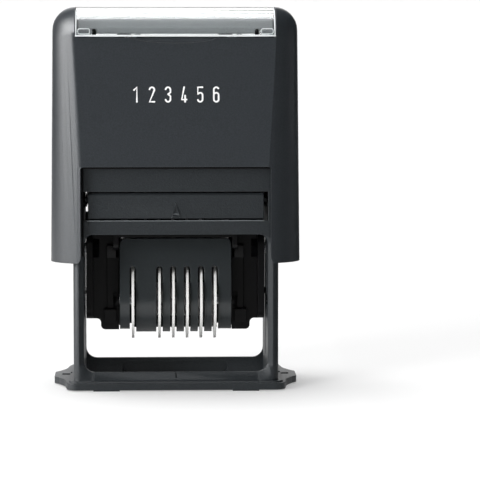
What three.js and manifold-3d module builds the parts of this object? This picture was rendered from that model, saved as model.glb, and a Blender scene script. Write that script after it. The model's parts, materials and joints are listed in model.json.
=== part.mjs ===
// A self-inking number stamp: a casing that slides down over a fixed lower frame and, as it comes
// down, turns a unit of six number wheels over from the ink pad above it to the paper below it.
// Lengths are in millimetres. X is to the right as seen from the front, the front faces -Y and
// +Z is up. The origin is the middle of the base, on the surface that the stamp stands on.

import * as THREE from 'three';
import { mergeVertices } from 'three/addons/utils/BufferGeometryUtils.js';
import Module from 'manifold-3d';

const wasm = await Module();
wasm.setup();

// Clearances that all pieces share
const seatGap = 0.3;
const overrun = 1;
const mergeDistance = 0.00001;

// Steps of the round stretches
const arcSteps = 6;
const smallArcSteps = 3;
const wingSteps = 10;
const topSteps = 9;
const roundSides = 16;
const boreSides = 20;
const pinSides = 10;

// Widths of the casing, and how far the pieces inside stand back from it
const casingHalfWidth = 34.3;
const casingDraft = 0.8;
const casingWall = 1.6;
const armAir = 1.2;
const armThickness = 2.4;
const frameSideWall = 2.85;
const openingOverlap = 2.2;
const indexMargin = 6.6;
const casingTopHalfWidth = casingHalfWidth - casingDraft;
const frameHalfWidth = casingTopHalfWidth - casingWall - armAir - armThickness - seatGap;
const frameInner = frameHalfWidth - frameSideWall;
const openingHalfWidth = frameHalfWidth - openingOverlap;
const indexHalfWidth = casingTopHalfWidth - indexMargin;
const armInner = frameHalfWidth + seatGap;
const armOuter = armInner + armThickness;

// Depths of the casing and the frame
const casingHalfDepth = 20.65;
const panelLean = 1.4;
const frameSetback = 3.15;
const frameFrontWall = 2.5;
const wingRadius = 15;
const wingRise = 13.65;
const frameHalfDepth = casingHalfDepth - frameSetback;
const frameFrontInner = frameHalfDepth - frameFrontWall;
const wingCentreDepth = casingHalfDepth - wingRise;

// Heights, up from the pivot that the number unit turns on
const pivotHeight = 37.5;
const padReach = 9.5;
const slotDrop = 0.6;
const slotHeight = 7.9;
const crossBarHeight = 3.8;
const frameHead = 9.2;
const casingHead = 12.5;
const padFaceHeight = pivotHeight + padReach;
const printFaceRest = padFaceHeight - seatGap;
const printReach = printFaceRest - pivotHeight;
const stroke = printFaceRest - 2 * printReach;
const slotBottom = padFaceHeight - slotDrop;
const slotTop = slotBottom + slotHeight;
const windowTop = slotBottom - crossBarHeight;
const frameTop = slotTop + frameHead;
const casingTop = frameTop + stroke + casingHead;

// Lower frame: side walls, front and rear walls and roof
const frameRoof = 2.2;
const frameShoulder = 3;
const frameCorner = 2;
const windowSill = 4.7;
const windowCorner = 3;
const windowBezel = 1.35;
const sillBezel = 2.2;
const railReach = 0.95;
const railHeight = 1;
const railLift = 4.7;
const railTop = slotBottom + railLift;
const sillRecessHalfWidth = 14.9;
const sillRecessDepth = 1.2;
const sillRecessDrop = 1;
const sillRecessCorner = 1.4;
const sillMarkWidth = 0.5;
const sillMarkDepth = 0.35;

// Base plate, its two ears and four feet
const baseReach = 1.6;
const baseStep = 2.5;
const baseTop = 2.1;
const footHeight = 0.3;
const baseCorner = 3;
const earReach = 5.6;
const earHalfLength = 4.7;
const earCorner = 1.2;
const earShoulder = 6.8;
const earShoulderShare = 0.68;
const flankBendShare = 0.35;
const flankBendWidthShare = 0.22;
const earSlotStart = 0.8;
const earSlotLength = 2.8;
const earSlotWidth = 2.6;
const ledgeRise = 0.4;
const ledgeReach = 1.3;
const footMargin = 7;
const footLength = 7.2;
const footDepth = 5;
const baseHalfWidth = frameHalfWidth + baseReach;
const earHalfWidth = frameHalfWidth + earReach;
const baseHalfDepth = frameHalfDepth + baseStep;
const footOuter = baseHalfWidth - footMargin;
const footInner = footOuter - footLength;

// Turn of the number unit
const pivotPinRadius = 1.5;
const followerRadius = 0.9;
const followerReach = 12;
const camDepth = 1.3;
const camSteps = 14;
const pinSlotHalfWidth = pivotPinRadius + seatGap;
const pressedPivot = pivotHeight - stroke;

// Outer casing
const casingFoot = 3;
const casingRise = 0.5;
const casingCorner = 6.2;
const topRound = 8;
const openingHead = 6.9;
const openingTopCorner = 0.8;
const openingFootCorner = 2.2;
const guideRibPlace = 20;
const guideRibWidth = 1.2;
const guideRibDrop = 10;
const roofBossRadius = 2.2;
const roofBossMargin = 6.3;
const casingBottom = pivotHeight - casingFoot;
const openingTop = slotTop + openingHead;
const roofBossSpread = armInner - roofBossMargin;

// Index window over the top of the casing, and the card under it
const indexHeight = 7.9;
const indexThickness = 1.3;
const indexBottom = casingTop - indexHeight;
const cardThickness = 0.35;
const cardMargin = 0.7;
const catchLength = 3.9;
const catchHeight = 1.9;
const catchRise = 0.25;
const catchCorner = 0.6;
const notchWidth = 1.3;
const notchHeight = 1.7;
const thumbHalfWidth = 11;
const thumbHeight = 1.5;
const thumbDepth = 1.1;
const windowDepth = indexThickness + cardThickness + 2 * seatGap;

// Yoke that ties the casing to the pivots
const armHalfWidth = 5.5;
const yokeFootHalfWidth = 3;
const yokePlate = 2;
const yokePlateHalfDepth = 8;
const springMargin = 8;
const springPostRadius = 2;
const framePostHeight = 3;
const yokePostHeight = 2.4;
const casingInnerTop = casingTop - windowDepth - casingWall;
const yokeTop = casingInnerTop - seatGap;
const yokeBottom = yokeTop - yokePlate;
const springSpread = roofBossSpread - springMargin;

// Return springs
const springRadius = 4.2;
const springWire = 0.9;
const springCurls = 6;
const springCurlSteps = 8;
const springWireSides = 5;

// Lock buttons on the two sides
const buttonLift = 1.7;
const buttonHalfLength = 4.5;
const buttonHalfHeight = 3;
const buttonCorner = 1.5;
const buttonFlange = 0.7;
const buttonFlangeRim = 1.2;
const buttonTravel = 1.2;
const buttonPinRadius = 1;
const lockHoleDepth = 1.5;
const buttonHeight = slotTop + buttonLift;

// Carrier that turns inside the frame
const carrierAir = 0.45;
const carrierEnd = 1.8;
const carrierCheek = 1.5;
const carrierWeb = 3;
const carrierRise = 4.5;
const wheelDrop = 14.4;
const wingDrop = 5.2;
const hipDrop = 8.3;
const hipStep = 4;
const hipRound = 1.2;
const endHalfDepth = 4.5;
const endRound = 3;
const axleBossRadius = 3.2;
const beamInner = 5.4;
const beamThickness = 1.6;
const beamHeight = 2.2;
const pinBossRadius = 3;
const pinBossLength = 1.4;
const webStep = 0.6;
const webStepWidth = 3.3;
const lugStart = 0.7;
const lugWidth = 3.4;
const lugDrop = 6.1;
const lugHeight = 3.6;
const lugDepth = 2.2;
const upperLugWidth = 2.6;
const upperLugDrop = 2.5;
const upperLugHeight = 3.4;
const upperLugDepth = 1.4;
const carrierHalfWidth = frameInner - carrierAir;
const carrierTop = pivotHeight + carrierRise;
const wheelAxis = pivotHeight - wheelDrop;
const wingBottom = wheelAxis - wingDrop;
const hipBottom = wheelAxis - hipDrop;
const hipWidth = carrierHalfWidth - hipStep;

// Wheel cover
const coverWidthShare = 0.6233;
const coverRise = 3.1;
const coverTopDepth = 6.2;
const coverTopCorner = 1.6;
const coverShoulderDrop = 3;
const coverShoulderDepth = 7.3;
const coverRadius = 9.4;
const coverWall = 1.2;
const coverCheek = 1.5;
const ribDrop = 8.7;
const cheekDrop = 7.7;
const flapReach = 0.9;
const flapStart = 3.6;
const flapDrop = 0.8;
const discSlotRise = 9.9;
const coverHalfWidth = carrierHalfWidth * coverWidthShare;
const coverTop = pivotHeight + coverRise;
const coverShoulder = pivotHeight - coverShoulderDrop;
const ribBottom = wheelAxis - ribDrop;
const cheekBottom = wheelAxis - cheekDrop;
const discSlotTop = wheelAxis + discSlotRise;
const cheekOuter = coverHalfWidth + seatGap + carrierCheek;

// The carrier's two beams pass over the cover
const beamGap = 0.4;
const beamBottom = coverTop + beamGap;

// Number wheels and their discs, with their places along the axle as shares of the cover's width
const wheelCount = 6;
const bandPitchShare = 0.2494;
const firstBandShare = 2.654;
const discOffsetShare = 0.495;
const firstDiscShare = 0.417;
const discThicknessShare = 0.182;
const discSlotShare = 0.456;
const drumWidthShare = 0.65;
const axleRadius = 1.4;
const discRadius = 10.8;
const discTeeth = 42;
const toothDepth = 0.35;
const drumRadius = 4.6;
const hubRadius = 2.6;
const rearWallGap = 0.4;
const bandPitch = coverHalfWidth * bandPitchShare;
const firstBand = -bandPitch * firstBandShare;
const discOffset = bandPitch * discOffsetShare;
const firstDiscOffset = -bandPitch * firstDiscShare;
const discThickness = bandPitch * discThicknessShare;
const discSlotWidth = bandPitch * discSlotShare;
const drumWidth = bandPitch * drumWidthShare;

// Rubber number bands
const bandWidthShare = 0.573;
const bandThickness = 0.6;
const bandPadHeight = 0.9;
const bandPadLength = 4;
const bandPads = 12;
const bandSink = 0.35;
const bandWidth = bandPitch * bandWidthShare;
const bandInner = drumRadius + seatGap;

// Platen that the bands run over
const combFinShare = 0.208;
const platenHalfDepth = 2.6;
const platenCorner = 1;
const platenHeight = 3.6;
const platenStep = 2.3;
const platenCheek = 2;
const combRise = 1.2;
const combFin = bandPitch * combFinShare;
const platenHalfWidth = coverHalfWidth - platenStep;
const platenTop = printFaceRest - bandPadHeight - bandThickness - seatGap;
const platenBottom = platenTop - platenHeight;

// Pad cassette and its ink pad
const cassetteAir = 1.25;
const cassetteInset = 0.5;
const cassetteHeadroom = 0.4;
const cassetteWall = 2.4;
const cassetteRoof = 2.2;
const cassetteRunner = 0.9;
const cassetteBevel = 0.6;
const arrowHalfWidth = 1.25;
const arrowHeight = 3.7;
const arrowLine = 0.4;
const arrowLift = 0.4;
const arrowRise = 0.35;
const cassetteHalfWidth = frameInner - cassetteAir;
const cassetteDepth = 2 * (frameHalfDepth - cassetteInset);
const cassetteTop = slotTop - cassetteHeadroom;
const arrowBottom = padFaceHeight + arrowLift;

// Finishes
const finishes = {
  casing: new THREE.MeshStandardMaterial({ color: 0x3a3e41, roughness: 0.42, metalness: 0 }),
  frame: new THREE.MeshStandardMaterial({ color: 0x32363a, roughness: 0.55, metalness: 0 }),
  cover: new THREE.MeshStandardMaterial({ color: 0x3f4343, roughness: 0.45, metalness: 0 }),
  dark: new THREE.MeshStandardMaterial({ color: 0x1b1c1f, roughness: 0.5, metalness: 0 }),
  disc: new THREE.MeshStandardMaterial({ color: 0xf0f0ee, roughness: 0.4, metalness: 0 }),
  rubber: new THREE.MeshStandardMaterial({ color: 0x1d1d1f, roughness: 0.8, metalness: 0 }),
  felt: new THREE.MeshStandardMaterial({ color: 0x1d1f2c, roughness: 0.95, metalness: 0 }),
  steel: new THREE.MeshStandardMaterial({ color: 0xb9bcc0, roughness: 0.3, metalness: 1 }),
  clear: new THREE.MeshStandardMaterial({ color: 0xdfe3e6, roughness: 0.08, metalness: 0 }),
  card: new THREE.MeshStandardMaterial({ color: 0x84888b, roughness: 0.85, metalness: 0 }),
};

const stamp = new THREE.Group();
stamp.name = 'number_stamp';

// Solids and meshes

function solidOf(geometry) {
  const bare = geometry.clone();
  bare.deleteAttribute('normal');
  bare.deleteAttribute('uv');
  const merged = mergeVertices(bare, mergeDistance);
  const corners = merged.index.array;
  const triangles = [];
  for (let i = 0; i < corners.length; i += 3) {
    const [a, b, c] = corners.slice(i, i + 3);
    if (a !== b && b !== c && c !== a) {
      triangles.push(a, b, c);
    }
  }
  const vertices = merged.attributes.position.array;
  const mesh = new wasm.Mesh({
    numProp: 3,
    vertProperties: new Float32Array(vertices),
    triVerts: new Uint32Array(triangles),
  });
  return new wasm.Manifold(mesh);
}

function joined(solids) {
  return solids.reduce((whole, solid) => whole.add(solid));
}

function cut(solid, cutters) {
  return cutters.reduce((rest, cutter) => rest.subtract(cutter), solid);
}

function addPiece(name, solid, finish) {
  const mesh = solid.getMesh();
  const geometry = new THREE.BufferGeometry();
  geometry.setAttribute('position', new THREE.BufferAttribute(mesh.vertProperties, mesh.numProp));
  geometry.setIndex(new THREE.BufferAttribute(mesh.triVerts, 1));
  geometry.computeVertexNormals();
  const piece = new THREE.Mesh(geometry, finish);
  piece.name = name;
  stamp.add(piece);
  return piece;
}

// Outlines and extrusions

// A closed outline through corners given as [across, up, radius], each rounded by its radius
function outline(corners, steps = arcSteps) {
  const points = [];
  const count = corners.length;
  corners.forEach(([across, up, radius = 0], i) => {
    const here = new THREE.Vector2(across, up);
    if (radius === 0) {
      points.push(here);
      return;
    }
    const last = corners[(i + count - 1) % count];
    const next = corners[(i + 1) % count];
    const back = new THREE.Vector2(last[0], last[1]).sub(here).normalize();
    const ahead = new THREE.Vector2(next[0], next[1]).sub(here).normalize();
    const half = Math.acos(back.dot(ahead)) / 2;
    const bisector = back.clone().add(ahead).normalize();
    const centre = here.clone().addScaledVector(bisector, radius / Math.sin(half));
    const reach = radius / Math.tan(half);
    const from = here.clone().addScaledVector(back, reach).sub(centre);
    const to = here.clone().addScaledVector(ahead, reach).sub(centre);
    const sweep = Math.atan2(from.cross(to), from.dot(to));
    for (let k = 0; k <= steps; k += 1) {
      points.push(from.clone().rotateAround(new THREE.Vector2(), (sweep * k) / steps).add(centre));
    }
  });
  return new THREE.Shape(points);
}

function rectangle(left, right, low, high, radius = 0, steps = arcSteps) {
  const corners = [
    [left, low, radius],
    [right, low, radius],
    [right, high, radius],
    [left, high, radius],
  ];
  return outline(corners, steps);
}

function circle(across, up, radius, sides = roundSides) {
  const points = [];
  for (let k = 0; k < sides; k += 1) {
    const turn = (2 * Math.PI * (k + 0.5)) / sides;
    points.push(new THREE.Vector2(across + radius * Math.cos(turn), up + radius * Math.sin(turn)));
  }
  return new THREE.Shape(points);
}

function extruded(shape, from, to) {
  return new THREE.ExtrudeGeometry(shape, { depth: to - from, bevelEnabled: false });
}

// An outline drawn in X and Y, raised along Z
function alongZ(shape, from, to) {
  return solidOf(extruded(shape, from, to).translate(0, 0, from));
}

// An outline drawn in X and Z, as seen from the front, carried along Y
function alongY(shape, from, to) {
  return solidOf(extruded(shape, from, to).rotateX(Math.PI / 2).translate(0, to, 0));
}

// An outline drawn in Y and Z, as seen from the right, carried along X
function alongX(shape, from, to) {
  const turn = new THREE.Matrix4().makeBasis(
    new THREE.Vector3(0, 1, 0),
    new THREE.Vector3(0, 0, 1),
    new THREE.Vector3(1, 0, 0),
  );
  return solidOf(extruded(shape, from, to).applyMatrix4(turn).translate(from, 0, 0));
}

function block(left, right, front, rear, low, high) {
  const geometry = new THREE.BoxGeometry(right - left, rear - front, high - low);
  return solidOf(geometry.translate((left + right) / 2, (front + rear) / 2, (low + high) / 2));
}

// A solid through two outlines with the same number of points, at two places along Y
function betweenOutlines(front, frontPlace, rear, rearPlace) {
  const frontPoints = front.getPoints();
  const rearPoints = rear.getPoints();
  const count = frontPoints.length;
  const positions = [];
  for (const [points, place] of [[frontPoints, frontPlace], [rearPoints, rearPlace]]) {
    points.forEach((point) => positions.push(point.x, place, point.y));
  }
  const faces = THREE.ShapeUtils.triangulateShape(frontPoints, []);
  const index = [];
  faces.forEach(([a, b, c]) => index.push(a, b, c, a + count, c + count, b + count));
  for (let i = 0; i < count; i += 1) {
    const j = (i + 1) % count;
    index.push(i, i + count, j, j, i + count, j + count);
  }
  const geometry = new THREE.BufferGeometry();
  geometry.setAttribute('position', new THREE.Float32BufferAttribute(positions, 3));
  geometry.setIndex(index);
  return solidOf(geometry);
}

function bothSides(makeSolid) {
  return [-1, 1].map((side) => makeSolid(side));
}

// The stretch between two distances from the middle, on the left or on the right
function spanOnSide(side, inner, outer) {
  return side < 0 ? [-outer, -inner] : [inner, outer];
}

function blockOnSide(side, inner, outer, front, rear, low, high) {
  return block(...spanOnSide(side, inner, outer), front, rear, low, high);
}

function barOnSide(side, shape, inner, outer) {
  return alongX(shape, ...spanOnSide(side, inner, outer));
}

// Lower frame

function frameWindow(bezel, low) {
  const half = frameInner + bezel;
  return outline([
    [-half, low, windowCorner + bezel],
    [half, low, windowCorner + bezel],
    [half, windowTop, windowCorner],
    [-half, windowTop, windowCorner],
  ]);
}

// A bezel on the front and on the rear slopes from the face into the window opening
function windowCutters() {
  const narrow = frameWindow(0, windowSill);
  const wide = frameWindow(windowBezel, windowSill - sillBezel);
  const inside = frameHalfDepth - windowBezel;
  return [
    alongY(narrow, -frameHalfDepth - overrun, frameHalfDepth + overrun),
    betweenOutlines(wide, -frameHalfDepth, narrow, -inside),
    betweenOutlines(narrow, inside, wide, frameHalfDepth),
  ];
}

function baseOutline() {
  const shoulderWidth = baseHalfWidth + (earHalfWidth - baseHalfWidth) * earShoulderShare;
  const bendWidth = baseHalfWidth + (earHalfWidth - baseHalfWidth) * flankBendWidthShare;
  const bendDepth = earShoulder + (baseHalfDepth - earShoulder) * flankBendShare;
  const quarter = [
    [baseHalfWidth, baseHalfDepth, baseCorner],
    [bendWidth, bendDepth, bendDepth],
    [shoulderWidth, earShoulder, earCorner],
    [earHalfWidth, earHalfLength, earCorner],
  ];
  const mirrored = (signX, signY) => quarter.map(([x, y, radius]) => [signX * x, signY * y, radius]);
  return outline([
    ...mirrored(1, -1),
    ...mirrored(1, 1).reverse(),
    ...mirrored(-1, 1),
    ...mirrored(-1, -1).reverse(),
  ]);
}

function basePlate() {
  const plate = alongZ(baseOutline(), footHeight, baseTop);
  const ledge = alongZ(
    rectangle(
      -frameHalfWidth - ledgeReach,
      frameHalfWidth + ledgeReach,
      -frameHalfDepth - ledgeReach,
      frameHalfDepth + ledgeReach,
      baseCorner,
    ),
    footHeight,
    baseTop + ledgeRise,
  );
  const feet = [];
  const footRear = baseHalfDepth - footDepth;
  for (const side of [-1, 1]) {
    feet.push(blockOnSide(side, footInner, footOuter, -baseHalfDepth, -footRear, 0, baseTop));
    feet.push(blockOnSide(side, footInner, footOuter, footRear, baseHalfDepth, 0, baseTop));
  }
  const earSlots = bothSides((side) => blockOnSide(
    side,
    frameHalfWidth + earSlotStart,
    frameHalfWidth + earSlotStart + earSlotLength,
    -earSlotWidth / 2,
    earSlotWidth / 2,
    -overrun,
    frameTop,
  ));
  return { plate: joined([plate, ledge, ...feet]), earSlots };
}

// The follower pins run in this track as the number unit turns over
function camPoint(share) {
  const turn = Math.PI * share;
  const pivot = pivotHeight - stroke * share;
  return new THREE.Vector2(-followerReach * Math.sin(turn), pivot - followerReach * Math.cos(turn));
}

function camTrack(side) {
  const radius = followerRadius + seatGap;
  const inner = frameInner - overrun;
  const outer = frameInner + camDepth;
  const pieces = [];
  for (let k = 0; k < camSteps; k += 1) {
    const from = camPoint(k / camSteps);
    const to = camPoint((k + 1) / camSteps);
    const along = to.clone().sub(from).normalize();
    const across = new THREE.Vector2(-along.y, along.x).multiplyScalar(radius);
    const run = new THREE.Shape([
      from.clone().sub(across),
      to.clone().sub(across),
      to.clone().add(across),
      from.clone().add(across),
    ]);
    pieces.push(barOnSide(side, run, inner, outer));
    pieces.push(barOnSide(side, circle(from.x, from.y, radius, pinSides), inner, outer));
  }
  const end = camPoint(1);
  pieces.push(barOnSide(side, circle(end.x, end.y, radius, pinSides), inner, outer));
  return joined(pieces);
}

function pivotSlot(side) {
  const slot = rectangle(
    -pinSlotHalfWidth,
    pinSlotHalfWidth,
    pressedPivot - pinSlotHalfWidth,
    pivotHeight + pinSlotHalfWidth,
    pivotPinRadius,
  );
  return barOnSide(side, slot, frameInner - overrun, frameHalfWidth + overrun);
}

// The front view and the plan of the frame's body, both with rounded corners
function frameBody() {
  const front = alongY(
    outline([
      [-frameHalfWidth, footHeight],
      [frameHalfWidth, footHeight],
      [frameHalfWidth, frameTop, frameShoulder],
      [-frameHalfWidth, frameTop, frameShoulder],
    ]),
    -frameHalfDepth,
    frameHalfDepth,
  );
  const plan = rectangle(-frameHalfWidth, frameHalfWidth, -frameHalfDepth, frameHalfDepth, frameCorner);
  return front.intersect(alongZ(plan, 0, frameTop + overrun));
}

function lowerFrame() {
  const body = frameBody();
  const { plate, earSlots } = basePlate();
  const hollow = block(
    -frameInner,
    frameInner,
    -frameFrontInner,
    frameFrontInner,
    -overrun,
    frameTop - frameRoof,
  );
  const slot = alongY(
    rectangle(-frameInner, frameInner, slotBottom, slotTop),
    -frameHalfDepth - overrun,
    frameHalfDepth + overrun,
  );
  const recess = alongY(
    rectangle(
      -sillRecessHalfWidth,
      sillRecessHalfWidth,
      footHeight,
      windowSill - sillRecessDrop,
      sillRecessCorner,
    ),
    frameFrontInner - overrun,
    frameFrontInner + sillRecessDepth,
  );
  const mark = block(
    -sillMarkWidth / 2,
    sillMarkWidth / 2,
    -frameHalfDepth - overrun,
    -frameFrontInner - overrun,
    windowSill - sillBezel / 2 - sillMarkDepth,
    windowSill + overrun,
  );
  const posts = bothSides((side) => alongZ(
    circle(side * springSpread, 0, springPostRadius),
    frameTop - frameRoof,
    frameTop + framePostHeight,
  ));
  const rails = bothSides((side) => blockOnSide(
    side,
    frameInner - railReach,
    frameHalfWidth - frameSideWall / 2,
    -frameFrontInner,
    frameFrontInner,
    railTop - railHeight,
    railTop,
  ));
  const lockHoles = bothSides((side) => barOnSide(
    side,
    circle(0, buttonHeight, buttonPinRadius + seatGap),
    frameHalfWidth - lockHoleDepth,
    frameHalfWidth + overrun,
  ));
  const shell = cut(joined([body, plate, ...posts]), [
    hollow,
    slot,
    recess,
    mark,
    ...windowCutters(),
    ...bothSides(camTrack),
    ...bothSides(pivotSlot),
    ...lockHoles,
    ...earSlots,
  ]);
  return joined([shell, ...rails]);
}

// Casing

// Cross-sections from the foot to the top, joined by straight faces. All are drawn in by `inset`.
function casingForm(inset, topInset, low) {
  const top = casingTop - topInset;
  const sections = [];
  for (const [depth, height] of sidePoints(inset, topInset, low)) {
    const width = halfWidthAt(height, inset, top);
    sections.push([height, casingSection(depth, width, height, inset, top)]);
  }
  sections[0][0] = low;
  const deep = casingHalfDepth + overrun;
  const foot = outline([
    [0, low],
    [deep, low + casingRise],
    [deep, top + overrun],
    [-deep, top + overrun],
    [-deep, low + casingRise],
  ]);
  return upThrough(sections).intersect(alongX(foot, -casingHalfWidth, casingHalfWidth));
}

// Half the casing's width at a height, by its draft and the round corner under its top
function halfWidthAt(height, inset, top) {
  const radius = casingCorner - inset;
  const up = Math.max(0, height - (top - radius));
  const round = radius - Math.sqrt(Math.max(0, radius * radius - up * up));
  return casingSideAt(height) - inset - round;
}

// Flat panels at the front and the rear, cut off at a crease by round wings
function casingSection(depth, width, height, inset, top) {
  const start = top - topRound + inset;
  const level = Math.min(height, start);
  const straight = panelDepth(level) - inset;
  const centre = casingSideAt(level) - wingRadius;
  const radius = wingRadius - inset;
  const crease = Math.asin((straight - wingCentreDepth) / radius);
  const creaseWidth = centre + radius * Math.cos(crease);
  const stretch = (width - creaseWidth) / (centre + radius - creaseWidth);
  const squash = depth / straight;
  const wing = [];
  for (let k = 0; k <= wingSteps; k += 1) {
    const turn = (crease * k) / wingSteps;
    const across = centre + radius * Math.cos(turn) - creaseWidth;
    const along = wingCentreDepth + radius * Math.sin(turn);
    wing.push(new THREE.Vector2(creaseWidth + across * stretch, along * squash));
  }
  const mirrored = (signX, signY) => wing.map((p) => new THREE.Vector2(signX * p.x, signY * p.y));
  return [
    ...mirrored(1, 1),
    ...mirrored(-1, 1).reverse(),
    ...mirrored(-1, -1),
    ...mirrored(1, -1).reverse(),
  ];
}

// A solid up through sections given as [height, points], all with the same number of points
function upThrough(sections) {
  const count = sections[0][1].length;
  const positions = [];
  for (const [height, points] of sections) {
    points.forEach((point) => positions.push(point.x, point.y, height));
  }
  const index = [];
  const last = (sections.length - 1) * count;
  const lowFaces = THREE.ShapeUtils.triangulateShape(sections[0][1], []);
  const topFaces = THREE.ShapeUtils.triangulateShape(sections[sections.length - 1][1], []);
  lowFaces.forEach(([p, q, r]) => index.push(p, r, q));
  topFaces.forEach(([p, q, r]) => index.push(last + p, last + q, last + r));
  for (let level = 0; level < last; level += count) {
    for (let i = 0; i < count; i += 1) {
      const j = (i + 1) % count;
      index.push(level + i, level + j, level + count + i);
      index.push(level + j, level + count + j, level + count + i);
    }
  }
  const geometry = new THREE.BufferGeometry();
  geometry.setAttribute('position', new THREE.Float32BufferAttribute(positions, 3));
  geometry.setIndex(index);
  return solidOf(geometry);
}

// How far the front panel stands from the middle. It is upright beside the opening and leans above.
function panelDepth(height) {
  const lean = panelLean / (indexBottom - openingTop);
  return casingHalfDepth - lean * Math.max(0, height - openingTop);
}

// The side view from the foot to the top, as [depth, height] on one side of the middle
function sidePoints(inset, topInset, low) {
  const top = casingTop - topInset;
  const round = topRound - inset;
  const shape = outline([
    [0, low],
    [panelDepth(low) - inset, low],
    [panelDepth(openingTop) - inset, openingTop],
    [panelDepth(top) - inset, top, round],
    [0, top],
  ], topSteps);
  return shape.getPoints().filter((point) => point.x > 0).map((point) => [point.x, point.y]);
}

function casingSide(inset, topInset, low) {
  const half = sidePoints(inset, topInset, low);
  const mirrored = half.map(([y, z]) => [-y, z]).reverse();
  return outline([...half, ...mirrored]);
}

// The layer of the casing's top between two depths below its surface, as far down as `low`
function topLayer(outerInset, innerInset, halfWidth, low) {
  const wide = halfWidth + overrun;
  const outer = alongX(casingSide(outerInset, outerInset, casingBottom), -halfWidth, halfWidth);
  const inner = alongX(casingSide(innerInset, innerInset, casingBottom - overrun), -wide, wide);
  const keep = block(-wide, wide, -casingHalfDepth, casingHalfDepth, low, casingTop + overrun);
  return outer.subtract(inner).intersect(keep);
}

function indexRecess() {
  const half = indexHalfWidth + seatGap;
  const deep = casingHalfDepth + overrun;
  const side = casingSide(windowDepth, windowDepth, casingBottom);
  const slab = block(-half, half, -deep, deep, indexBottom - seatGap, casingTop + overrun);
  return slab.subtract(alongX(side, -casingHalfWidth, casingHalfWidth));
}

function thumbScoop(side) {
  const scoop = new THREE.SphereGeometry(thumbHeight, roundSides, roundSides);
  scoop.scale(thumbHalfWidth / thumbHeight, thumbDepth / thumbHeight, 1);
  return solidOf(scoop.translate(0, side * panelDepth(indexBottom), indexBottom - seatGap));
}

function casingOpening() {
  const outer = openingHalfWidth + 2 * openingFootCorner;
  const half = [
    [outer, casingBottom - overrun],
    [outer, casingBottom],
    [openingHalfWidth, casingBottom, openingFootCorner],
    [openingHalfWidth, openingTop, openingTopCorner],
  ];
  const mirrored = half.map(([x, z, radius]) => [-x, z, radius]).reverse();
  return alongY(outline([...half, ...mirrored]), -casingHalfDepth - overrun, casingHalfDepth + overrun);
}

function guideRibs() {
  const ribs = [];
  const inner = frameHalfDepth + seatGap;
  const low = openingTop + openingTopCorner;
  const high = indexBottom - guideRibDrop;
  const outer = panelDepth(high) - casingWall / 2;
  for (const side of [-1, 1]) {
    const outerSide = guideRibPlace + guideRibWidth;
    ribs.push(blockOnSide(side, guideRibPlace, outerSide, -outer, -inner, low, high));
    ribs.push(blockOnSide(side, guideRibPlace, outerSide, inner, outer, low, high));
  }
  return ribs;
}

function buttonHole(side, margin, inner, outer) {
  const hole = rectangle(
    -buttonHalfLength - margin,
    buttonHalfLength + margin,
    buttonHeight - buttonHalfHeight - margin,
    buttonHeight + buttonHalfHeight + margin,
    buttonCorner + margin,
  );
  return barOnSide(side, hole, inner, outer);
}

function casing() {
  const outer = casingForm(0, 0, casingBottom);
  const inner = casingForm(casingWall, windowDepth + casingWall, casingBottom - overrun);
  const bosses = bothSides((side) => alongZ(
    circle(side * roofBossSpread, 0, roofBossRadius),
    yokeBottom,
    casingInnerTop + casingWall / 2,
  ));
  const holes = bothSides((side) => buttonHole(side, seatGap, armOuter, casingHalfWidth + overrun));
  const shell = cut(outer, [
    inner,
    indexRecess(),
    casingOpening(),
    thumbScoop(-1),
    thumbScoop(1),
    ...holes,
  ]);
  return joined([shell, ...guideRibs(), ...bosses]);
}

// A raised catch at each lower corner of the window, with a notch beside it
function indexWindow() {
  const sheet = topLayer(0, indexThickness, indexHalfWidth, indexBottom);
  const catchInner = indexHalfWidth - catchLength;
  const reach = casingHalfDepth + overrun;
  const raised = [];
  const notches = [];
  for (const side of [-1, 1]) {
    const along = side * (catchInner + catchLength / 2);
    raised.push(alongY(
      rectangle(
        along - catchLength / 2,
        along + catchLength / 2,
        indexBottom,
        indexBottom + catchHeight,
        catchCorner,
      ),
      -reach,
      reach,
    ));
    const notch = side * (catchInner - notchWidth);
    notches.push(alongY(
      rectangle(
        notch - notchWidth / 2,
        notch + notchWidth / 2,
        indexBottom - notchHeight,
        indexBottom + notchHeight,
        catchCorner,
      ),
      -reach,
      reach,
    ));
  }
  const skin = topLayer(-catchRise, indexThickness / 2, indexHalfWidth, indexBottom);
  return cut(joined([sheet, joined(raised).intersect(skin)]), notches);
}

function indexCard() {
  const outer = indexThickness + seatGap;
  return topLayer(outer, outer + cardThickness, indexHalfWidth - cardMargin, indexBottom + cardMargin);
}

// Yoke, springs and lock buttons

// The front view of a stirrup and its side view, which narrows to the arms and their feet
function yokeForm() {
  const front = alongY(
    outline([
      [-armOuter, casingBottom],
      [-armInner, casingBottom],
      [-armInner, yokeBottom, casingCorner - armThickness],
      [armInner, yokeBottom, casingCorner - armThickness],
      [armInner, casingBottom],
      [armOuter, casingBottom],
      [armOuter, yokeTop, casingCorner],
      [-armOuter, yokeTop, casingCorner],
    ]),
    -yokePlateHalfDepth,
    yokePlateHalfDepth,
  );
  const half = [
    [yokeFootHalfWidth, casingBottom, yokeFootHalfWidth / 2],
    [armHalfWidth, pivotHeight + armHalfWidth],
    [armHalfWidth, yokeBottom - armHalfWidth],
    [yokePlateHalfDepth, yokeBottom],
    [yokePlateHalfDepth, yokeTop],
  ];
  const mirrored = half.map(([y, z, radius]) => [-y, z, radius]).reverse();
  return front.intersect(alongX(outline([...half, ...mirrored]), -armOuter, armOuter));
}

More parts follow.
